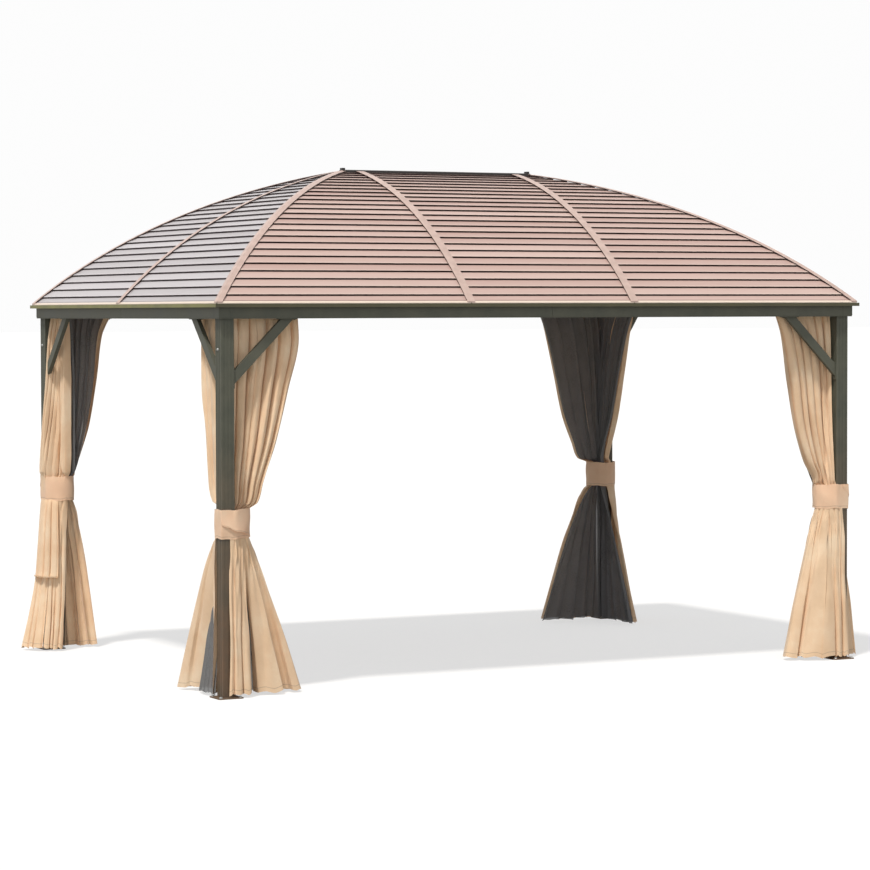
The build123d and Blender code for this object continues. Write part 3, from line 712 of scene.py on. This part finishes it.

# %% [markdown]
# A wing is the cloth on one side of a corner: two widths of curtain that hang next to each other,
# and one of netting behind them. Reach is how far along the beam it goes at six heights, from the
# rail down, and q moves all of these in or out. Inner and outer are the number of pleats of each
# width and its path at the hem, which is what makes one skirt differ from the next. Where the band
# has pulled the cloth round the post, wrap is its edge at each height, and start its edge under the
# band. Puff and late shape the skirt. Net is the netting's share of the reach, and net_waist and
# net_hem are its paths. All places were chosen against the outlines in the photograph.

# %% The eight wings
WINGS = {
    ("front_left", "long"): {
        "reach": (424, 432, 368, 298, 214, 180),
        "start": -32,
        "inner": (3, [(-46, -94), (-36, -101), (-22, -98), (-14, -86), (-12, -102), (10, -110),
                      (32, -102), (38, -62), (46, -94), (70, -100), (92, -86), (98, -40),
                      (60, 16)]),
        "outer": (4, [(150, 30), (156, -24), (200, -40), (250, -52), (296, -58), (302, -20),
                      (306, 34), (340, 44), (370, 40), (378, -4), (400, -10), (422, -8),
                      (440, 20), (444, 50), (420, 80), (380, 84), (330, 76)]),
        "puff": 0.0,
    },
    ("front_left", "short"): {
        "reach": (404, 392, 366, 326, 288, 244),
        "q": -8,
        "inner": (1, [(10, -100, 4), (34, -90, 6), (44, -30, 8)]),
        "outer": (4, [(150, 20, 16), (240, -10, 14), (330, -74, 6), (455, -150, 3), (446, -40, 8),
                      (452, 16, 12), (360, 60, 16), (240, 60, 14), (180, 96, 8)]),
        "puff": 0.10,
        "net_hem": [(12, -85, 3), (70, -92, 5), (150, -100, 6), (250, -80, 8), (330, 20, 10)],
    },
    ("front_right", "long"): {
        "reach": (392, 340, 282, 230, 158, 100),
        "wrap": ((6, -8), (6, -26), (8, -38), (10, -52), (12, -70), (12, -80), (4, -83),
                 (2, -83)),
        "start": -40,
        "inner": (3, [(-84, -98), (-66, -104), (-50, -100), (-44, -86), (-38, -85), (-30, -101),
                      (-10, -108), (4, -104), (8, -86), (14, -88), (20, -104), (70, -112),
                      (122, -106)]),
        "outer": (3, [(114, -102), (160, -86), (216, -56), (232, -42), (236, -4), (246, -6),
                      (252, -32), (290, -22), (312, -6), (314, 8), (306, 32), (296, 60),
                      (280, 80)]),
        "puff": 0.0,
        "net_hem": [(20, 40, 10), (236, 58, 12)],
    },
    ("front_right", "short"): {
        "reach": (400, 392, 300, 215, 160, 125),
        "inner": (3, [(-20, -110, 5), (14, -212, 8), (60, -190, 10), (90, -130, 14)]),
        "outer": (3, [(90, -110, 16), (250, -30, 24), (400, 20, 26)]),
        "puff": 0.12,
        "net": 0.62,
    },
    ("back_left", "long"): {
        "reach": (362, 300, 254, 198, 142, 104),
        "inner": (2, [(20, -40, 20), (130, 0, 20)]),
        "outer": (3, [(110, 10, 20), (248, 30, 22)]),
        "net": 0.86,
        "net_waist": [(10, 20, 3), (30, 20, 3), (45, 20, 3), (50, 25, 2)],
        "net_hem": [(18, -24, 5), (44, -20, 5)],
    },
    ("back_left", "short"): {
        "reach": (176, 142, 124, 118, 114, 106),
        "wrap": ((8, -40), (10, -62), (12, -84), (-22, -94), (-54, -97), (-68, -96), (-72, -88),
                 (-72, -85)),
        "start": -76,
        "inner": (4, [(-50, -204, 3), (-30, -240, 6), (40, -206, 8), (110, -150, 12)]),
        "outer": (4, [(104, -140, 14), (132, -84, 16), (150, -30, 14)]),
        "puff": 0.02,
        "late": 1.9,
        "net": 0.9,
        "net_waist": [(24, 0, 3), (44, 0, 3), (56, 8, 3), (60, 14, 2)],
        "net_hem": [(30, -70, 6), (104, -20, 6)],
    },
    ("back_right", "long"): {
        "reach": (494, 462, 398, 334, 262, 214),
        "inner": (3, [(20, -30, 18), (200, 0, 22)]),
        "outer": (3, [(190, 10, 22), (500, 20, 24)]),
        "puff": 0.16,
        "net": 1.04,
        "net_hem": [(20, 50, 16), (512, 60, 18)],
    },
    ("back_right", "short"): {
        "reach": (436, 398, 322, 238, 150, 110),
        "inner": (3, [(20, -30, 18), (200, 0, 22)]),
        "outer": (3, [(190, 10, 22), (490, 20, 24)]),
        "puff": 0.02,
        "net": 1.04,
        "net_hem": [(20, 50, 16), (492, 56, 18)],
    },
}
print("wings:", len(WINGS))

# %% [markdown]
# Each level gets a path of its own. At the lowest two, where the band's upper edge holds the cloth,
# the reach isn't a choice but follows from how full the bundle is.

# %% The paths above the band
LEVEL_Q = (10, 16, 22, 24, 24, 24, 26, 26)
LEVEL_DEPTH = (8, 28, 38, 38, 36, 26, 16, 8)


def fan_paths(corner, wing):
    """From the post, or from where the cloth wraps it, out to the wing's reach at each height."""
    reach = wing["reach"] + (138 * TIED[corner][2], 112 * TIED[corner][2])
    paths = []
    for k, (far, q, depth) in enumerate(zip(reach, LEVEL_Q, LEVEL_DEPTH)):
        q += wing.get("q", 0)
        path = [(8, q, depth), (far, q, depth)]
        if "wrap" in wing:
            p, outside = wing["wrap"][k]
            edge = [(p, outside, 4)]
            if p < 0:
                edge.append((8, outside, 5))
            path = edge + [(16, q - 20, 10), (40, q, depth), (far, q, depth)]
        paths.append(path)
    return paths


print("levels down to the band:", len(LEVEL_Q))

# %% [markdown]
# The widths of a wing share its path: the inner one takes the part next to the post, and the outer
# one the rest, with a small overlap.

# %% Hang the curtains
curtains = []
for number, ((corner, side), wing) in enumerate(WINGS.items()):
    fan = fan_paths(corner, wing)
    waist = round_bundle(TIED[corner][2], wing.get("start", 0))
    parts = {which: wing[which][0] for which in ("inner", "outer")}
    middle = parts["inner"] / sum(parts.values())
    for which, share in (("inner", (0.0, middle)), ("outer", (middle - 0.04, 1.0))):
        pleats, hem = wing[which]
        piece = gathered(f"curtain_{corner}_{side}_{which}", corner, side, (fan, waist, hem),
                         pleats, share, curtain_cloth, 20 + 2 * number + (which == "outer"),
                         wing.get("puff", 0.06), wing.get("late", 1.0))
        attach(piece, "root")
        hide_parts(f"curtain_{corner}")
        wide = round(area_of(piece) / 2.10, 2)
        curtains.append(piece)
        print(piece.name, "flat width", wide, "m")
print("curtains:", len(curtains))

# %% [markdown]
# The netting hangs on the inner groove of the same rail, so it is behind the curtain from outside
# and in front of it from inside. It is one width with six pleats, at most corners narrower than the
# curtain. Its hem hangs about straight under its place on the rail, or spreads with the skirt, but
# at the back left it is tucked in behind the skirt.

# %% Hang the netting
NET_Q = (28, 50, 70, 73, 73, 70, 64, 60)
nets = []
for number, ((corner, side), wing) in enumerate(WINGS.items()):
    full = TIED[corner][2]
    reach = [wing.get("net", 0.8) * far for far in wing["reach"]] + [104 * full, 96 * full]
    fan = [[(22, q, 8), (far, q, 11)] for far, q in zip(reach, NET_Q)]
    waist = wing.get("net_waist", [(24, 24, 3), (64 * full, 16, 4), (98 * full, 40 * full, 4),
                                   (92 * full, 74 * full, 3)])
    hem = wing.get("net_hem", [(20, 58, 12), (0.86 * reach[0], 92, 14)])
    piece = gathered(f"net_{corner}_{side}", corner, side, (fan, waist, hem), 6, (0.0, 1.0),
                     net_mesh, 300 + number, wing.get("puff", 0.06), wing.get("late", 1.0), 4)
    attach(piece, "root")
    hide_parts(f"net_{corner}")
    wide = round(area_of(piece) / 2.09, 2)
    nets.append(piece)
print("nets:", len(nets))

# %% [markdown]
# A tie band is a strip of the curtain cloth that goes round the post and the gathered cloth, and
# closes on itself. It is pulled tight, so it is nearly straight between the corners, and puckers
# along its edges.

# %% The ring of a band
BAND_ROWS = 15


def band_ring(full, steps=6):
    """A closed smooth line round the post and the bundle."""
    half = [(-30, -84), (0, -85), (53 * full, -63), (106 * full, -23), (126 * full, 14 * full),
            (127 * full, 40 * full), (113 * full, 88 * full)]
    ring = [(-83, -83)] + half + [(q, p) for p, q in half[::-1]]
    closed = np.array(ring[-2:] + ring + ring[:3], float)
    line = smooth_through(closed, along_line(closed), steps, 0.2)
    return line[2 * steps:-2 * steps - 1]


def taut(ring, away, v, height, phases):
    """One level of a band: the ring, a little slack in the middle and puckered at the edges."""
    turn = np.linspace(0, 2 * math.pi, len(ring), endpoint=False)
    edge = abs(2 * v - 1) ** 3
    out = 1.5 + 1.5 * math.sin(math.pi * v) + 1.0 * np.sin(5 * turn + 7 * v + phases[3])
    out += edge * (1.2 * np.sin(11 * turn + phases[0]) + 0.8 * np.sin(17 * turn + phases[1]))
    out += 1.6 * np.sin(2 * turn + 3 * v + phases[2]) * math.sin(math.pi * v)
    z = height + 0.0025 * np.sin(3 * turn + phases[4]) + 0.0015 * np.sin(8 * turn + phases[5])
    return np.concatenate([ring + away * out[:, None], z[:, None]], axis=1)


print("points round a band:", len(band_ring(1.0)))

# %% [markdown]
# The free end of a band lies over the ring's outer face. It covers the ring down to a slanting
# edge, and stands a little proud there, so that the sun draws its shadow on the ring.

# %% The free end of a band
END_ROWS, END_COLUMNS = 13, 33


def free_end(ring, away, top, wide, phases):
    """The end as a grid: from the ring's upper edge down to its own slanting edge."""
    columns = np.linspace(0, 1, END_COLUMNS)
    grid = []
    for v in np.linspace(-0.02, 1, END_ROWS):
        spots = []
        for share, low_edge in zip(columns, 0.52 + 0.40 * columns):
            level = taut(ring, away, v * low_edge, top - v * low_edge * wide, phases)
            at = 7 * max(v, 0) * (1 - share) + 30 * share - 6
            near, part = math.floor(at), at % 1
            proud = 2.5 + 9.0 * max(v, 0) ** 2 * math.sin(math.pi * share) ** 0.5
            out = away[near] * proud
            spot = level[near] * (1 - part) + level[near + 1] * part
            spots.append(spot + np.array([out[0], out[1], 0]))
        grid.append(spots)
    return np.array(grid)


print("points of a free end:", END_ROWS * END_COLUMNS)

# %% [markdown]
# The end lies on the long side of a corner. The front right one lies on the other side, because
# the long side of that band shows none in the photograph.

# %% Tie the bands
bands = []
for number, corner in enumerate(CORNERS):
    low, top, full = TIED[corner]
    wide = top - low
    ring = band_ring(full)
    away = ring - np.array([20.0, 20.0])
    away /= np.linalg.norm(away, axis=1)[:, None]
    phases = np.random.default_rng(500 + number).uniform(0, 6.3, 6)
    rows = np.linspace(0, 1, BAND_ROWS)
    levels = np.array([taut(ring, away, v, top - v * wide, phases) for v in rows])
    world = place(corner, "long", levels)
    along = along_line(np.concatenate([world[7], world[7][:1]]))
    piece = mesh_of(f"tie_band_{corner}_cloth", world, (along, rows[::-1] * wide + 0.012),
                    band_cloth, closed=True)
    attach(piece, "root")
    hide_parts(f"tie_band_{corner}")
    bands.append(piece)

    over = "short" if corner == "front_right" else "long"
    world = place(corner, over, free_end(ring, away, top, wide, phases))
    along = along_line(world[6])
    piece = mesh_of(f"tie_band_{corner}_end", world, (along, np.linspace(0.12, 0.02, END_ROWS)),
                    band_cloth)
    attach(piece, "root")
    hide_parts(f"tie_band_{corner}")
print("bands:", len(bands))

# %% [markdown]
# At the back left corner the lower part of one width was folded up and caught under the band. It
# hangs over the skirt as a second, shorter layer, and its lower edge is a fold that curls outward.
# It is the same cloth, so it is passed through its own few fold lines in the same way.

# %% The layer that is folded up
FOLDED_UP = (
    (0.956, [(-70, -84.5, 0.5), (0, -84.3, 0.5), (37, -62, 0.5), (74, -22.5, 0.5)]),
    (0.930, [(-70, -90, 1), (-6, -94, 3), (44, -74, 4), (82, -30, 2)]),
    (0.830, [(-69, -99, 3), (-4, -110, 7), (54, -90, 9), (98, -36, 4)]),
    (0.660, [(-66, -113, 4), (-2, -127, 9), (62, -104, 11), (112, -40, 5)]),
    (0.500, [(-63, -126, 4), (0, -143, 9), (68, -116, 11), (120, -46, 5)]),
    (0.462, [(-62, -132, 3), (0, -151, 8), (70, -124, 10), (123, -52, 5)]),
    (0.472, [(-62, -136, 2), (0, -159, 6), (71, -132, 8), (124, -59, 4)]),
)
shares, out = pleat_shares(4, 77)
rows = [row_on(path, shares, out, height) for height, path in FOLDED_UP]
across = np.stack([smooth_through(row, shares, 6, 0.1) for row in rows])
grid = smooth_through(across, np.arange(len(rows)), 8, 0.0)
world = place("back_left", "short", grid)
along, down = along_line(world[-9]), along_line(world[:, 9])
piece = mesh_of("curtain_back_left_short_folded_up", world, (along, 0.3 + down), curtain_cloth)
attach(piece, "root")
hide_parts("curtain_back_left")
wide = round(area_of(piece) / float(down[-1]), 2)
curtains.append(piece)
print(piece.name, "flat size", wide, "by", round(float(down[-1]), 2), "m")

# %% [markdown]
# A gazebo like this stands on anchor bolts, one in each corner of its four base plates, and its
# braces are bolted at both ends. A hexagon head is a six-sided prism with its top corners turned
# off, on a round washer, so it is lofted here from rings of points: a ring with equal distances
# to the centre is the washer, and one with six corners is the head. Each ring has its width and
# height, in halves of the distance across flats, and says whether it has six corners.

# %% Hexagon bolts
BOLT_RINGS = [(1.30, 0.0, False), (1.30, 0.16, False), (1.22, 0.22, False), (1.0, 0.22, True),
              (1.0, 0.80, True), (0.93, 0.92, False), (0.60, 0.95, False)]
AROUND = 24


def lofted_bolt(mesh, centre, axis, across_flats):
    """Adds one washer and hexagon head, standing on centre and pointing along axis."""
    turn = Vector(axis).to_track_quat("Z", "Y").to_matrix()
    flat = across_flats / 2
    rings = []
    for wide, high, six_corners in BOLT_RINGS:
        ring = []
        for k in range(AROUND):
            angle = math.radians(360 / AROUND * k)
            corner = math.cos(math.radians(15 * (k % 4) - 30)) if six_corners else 1.0
            reach = flat * wide / corner
            spot = Vector((reach * math.cos(angle), reach * math.sin(angle), flat * high))
            ring.append(mesh.verts.new(Vector(centre) + turn @ spot))
        rings.append(ring)
    for a, b in zip(rings, rings[1:]):
        for k in range(AROUND):
            n = (k + 1) % AROUND
            mesh.faces.new((a[k], a[n], b[n], b[k]))
    mesh.faces.new(rings[-1])


def bolts_of(name, places, across_flats, material):
    """One piece with a bolt head at each place: (centre, axis)."""
    heads = bmesh.new()
    for centre, axis in places:
        lofted_bolt(heads, centre, axis, across_flats)
    mesh = bpy.data.meshes.new(name)
    heads.to_mesh(mesh)
    heads.free()
    mesh.materials.append(material)
    piece = bpy.data.objects.new(name, mesh)
    bpy.context.scene.collection.objects.link(piece)
    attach(piece, "root")
    return piece


print("points round a bolt head:", AROUND)

# %% [markdown]
# The anchor bolts are zinc plated steel, bright once and patchy after a few seasons outdoors. The
# patches are noise about five millimetres wide, so a bolt head shows a few of them.


# %% Zinc plated steel
def zinc_steel(name):
    """A metal shine that differs a little in tone and roughness from patch to patch."""
    material, tree, shader = start_material(name, Metallic=1.0)
    place = add(tree, "NewGeometry")
    spots = add(tree, "TexNoise",
                {"Vector": place.outputs["Position"], "Scale": 180.0, "Detail": 3.0})
    tone = add(tree, "ValToRGB", {0: spots}, ramp=((0.35, "#9A9C9C"), (0.65, "#D6D8D8")))
    tree.links.new(tone.outputs[0], shader.inputs["Base Color"])
    rough = add(tree, "MapRange", {"Value": spots, "To Min": 0.28, "To Max": 0.5})
    tree.links.new(rough.outputs[0], shader.inputs["Roughness"])
    return material


bolt_zinc = zinc_steel("zinc_plated_steel")
print("bolt material:", bolt_zinc.name)

# %% [markdown]
# Each post has four anchor bolts at its foot, and one bolt high up on its outer face, towards the
# end of the gazebo. A brace has a pad at each end, with two bolts through it: one pair goes into
# the post, and one up into the beam. The heads stand on the pads.

# %% Bolt it down and together
POST_WIDE, POST_MID = 0.080, (POST_IN_X + 0.040, POST_IN_Y + 0.040)
PLATE_TOP, HOLE = 0.006, 0.0575
PAD_Q, PAD_LOW, PAD_HIGH, PAD_THICK = 0.056, 0.375, 0.283, 0.004
BEAM_LOW, SIDE_BOLT_Z = 2.095, 1.926
anchors, braces, sides = [], [], []
for sx, sy in CORNERS.values():
    for a in (-1, 1):
        for b in (-1, 1):
            spot = (sx * POST_MID[0] + a * HOLE, sy * POST_MID[1] + b * HOLE, PLATE_TOP)
            anchors.append((spot, (0, 0, 1)))
    for away in (PAD_LOW, PAD_HIGH):
        x, y = sx * (POST_IN_X - PAD_THICK), sy * (POST_IN_Y + PAD_Q)
        braces.append(((x, y, BEAM_LOW - away), (-sx, 0, 0)))
        braces.append(((sx * (POST_IN_X - away), y, BEAM_LOW - PAD_THICK), (0, 0, -1)))
        x, y = sx * (POST_IN_X + PAD_Q), sy * (POST_IN_Y - PAD_THICK)
        braces.append(((x, y, BEAM_LOW - away), (0, -sy, 0)))
        braces.append(((x, sy * (POST_IN_Y - away), BEAM_LOW - PAD_THICK), (0, 0, -1)))
    sides.append(((sx * (POST_IN_X + POST_WIDE), sy * POST_MID[1], SIDE_BOLT_Z), (sx, 0, 0)))
bolts_of("anchor_bolts", anchors, 0.017, bolt_zinc)
bolts_of("brace_bolts", braces, 0.010, frame_coat)
bolts_of("post_side_bolts", sides, 0.013, bolt_zinc)
print("bolt heads:", len(anchors) + len(braces) + len(sides))

# %% [markdown]
# The stage is a plain pale floor under a pale sky. Both show nearly white to the camera, through
# the Light Path node, for which the floor also gives off a little light of its own. On the gazebo
# they shed a plain, dimmer light, so that a colour renders about as it is written.

# %% Floor
WHITE = (1.0, 1.0, 1.0, 1.0)
FLOOR_REACH = 300
floor_mesh = bpy.data.meshes.new("studio_floor")
square = [(-1, -1), (1, -1), (1, 1), (-1, 1)]
floor_mesh.from_pydata([(x * FLOOR_REACH, y * FLOOR_REACH, 0) for x, y in square], [],
                       [(0, 1, 2, 3)])
floor = bpy.data.objects.new("studio_floor", floor_mesh)
bpy.context.scene.collection.objects.link(floor)
floor_paint, tree, shader = start_material("studio_floor_matt", Roughness=0.95)
shader.inputs["Specular IOR Level"].default_value = 0.0
seen = add(tree, "LightPath").outputs["Is Camera Ray"]
specks = add(tree, "TexNoise", {"Scale": 3.0, "Detail": 3.0})
pale = add(tree, "MapRange", {"Value": specks, "To Min": 0.36, "To Max": 0.38})
shown = add(tree, "Mix", {"Factor": seen, 6: colour("#ADABA6"), 7: pale}, data_type="RGBA")
tree.links.new(shown.outputs[2], shader.inputs["Base Color"])
shine = add(tree, "Math", {0: seen, 1: 0.62}, operation="MULTIPLY")
shader.inputs["Emission Color"].default_value = WHITE
tree.links.new(shine.outputs[0], shader.inputs["Emission Strength"])
floor_mesh.materials.append(floor_paint)
print("floor:", floor.name)

# %% Sky
SKY_LIGHT, SKY_SEEN = 0.34, 0.98
sky = bpy.data.worlds.new("studio_sky")
bpy.context.scene.world = sky
sky.use_nodes = True
tree = sky.node_tree
back = tree.nodes["Background"]
rays = add(tree, "LightPath").outputs
sight = add(tree, "Math", {0: rays["Is Camera Ray"], 1: rays["Is Transmission Ray"]},
            operation="MAXIMUM")
mirror = add(tree, "Math", {0: sight, 1: rays["Is Glossy Ray"]}, operation="MAXIMUM")
level = add(tree, "MapRange", {"Value": mirror, "To Min": SKY_LIGHT, "To Max": SKY_SEEN})
back.inputs["Color"].default_value = WHITE
tree.links.new(level.outputs[0], back.inputs["Strength"])
print("sky strength", SKY_LIGHT, "on the gazebo and", SKY_SEEN, "to the camera")

# %% [markdown]
# The light of the photograph comes from the left and above, so one soft, slightly warm sun stands
# there. A wide weak fill from the front opens the shade under the roof.


# %% Sun and fill
def far_lamp(name, strength, degrees_wide, towards):
    """A lamp that is far away in the given direction. A wider one draws softer shadows."""
    light = bpy.data.lights.new(name, "SUN")
    light.energy = strength
    light.angle = math.radians(degrees_wide)
    lamp = bpy.data.objects.new(name, light)
    bpy.context.scene.collection.objects.link(lamp)
    lamp.rotation_mode = "QUATERNION"
    lamp.rotation_quaternion = Vector(towards).to_track_quat("Z", "Y")
    return light


sun = far_lamp("soft_sun", 3.0, 5, (-0.36, -0.26, 0.896))
sun.color = (1.0, 0.965, 0.91)
fill = far_lamp("front_fill", 0.6, 60, (-0.45, -0.85, 0.28))
print("sun strength", sun.energy, "fill", round(fill.energy, 2))

# %% [markdown]
# The camera was worked out from the photograph: the lines of the roof, the beams and the posts,
# with their sizes, fix one place to stand and one lens. It is a long lens from about 19 metres
# away, a little above head height, which is why the far posts look nearly as tall as the near one.

# %% Camera
PHOTO_WIDE, FOCAL_PIXELS = 870, 3055.65
CAMERA_AT = (-8.634, -16.940, 2.129)
YAW_PITCH_ROLL = (26.974, -2.306, -0.166)
SENSOR_WIDE = 36.0
camera_data = bpy.data.cameras.new("photo_camera")
camera_data.sensor_width = SENSOR_WIDE
camera_data.lens = FOCAL_PIXELS / PHOTO_WIDE * SENSOR_WIDE
camera_data.clip_end = 1000.0
camera = bpy.data.objects.new("photo_camera", camera_data)
bpy.context.scene.collection.objects.link(camera)
yaw, pitch, roll = (math.radians(a) for a in YAW_PITCH_ROLL)
forward = Vector((math.sin(yaw) * math.cos(pitch), math.cos(yaw) * math.cos(pitch),
                  math.sin(pitch)))
right = Vector((math.cos(yaw), -math.sin(yaw), 0.0))
up = right.cross(forward)
right, up = (right * math.cos(roll) + up * math.sin(roll),
             up * math.cos(roll) - right * math.sin(roll))
turned = Matrix((right, up, -forward)).transposed().to_4x4()
camera.matrix_world = Matrix.Translation(CAMERA_AT) @ turned
bpy.context.scene.camera = camera
bpy.context.scene.view_settings.view_transform = "Standard"
print("lens", round(camera_data.lens, 1), "mm")
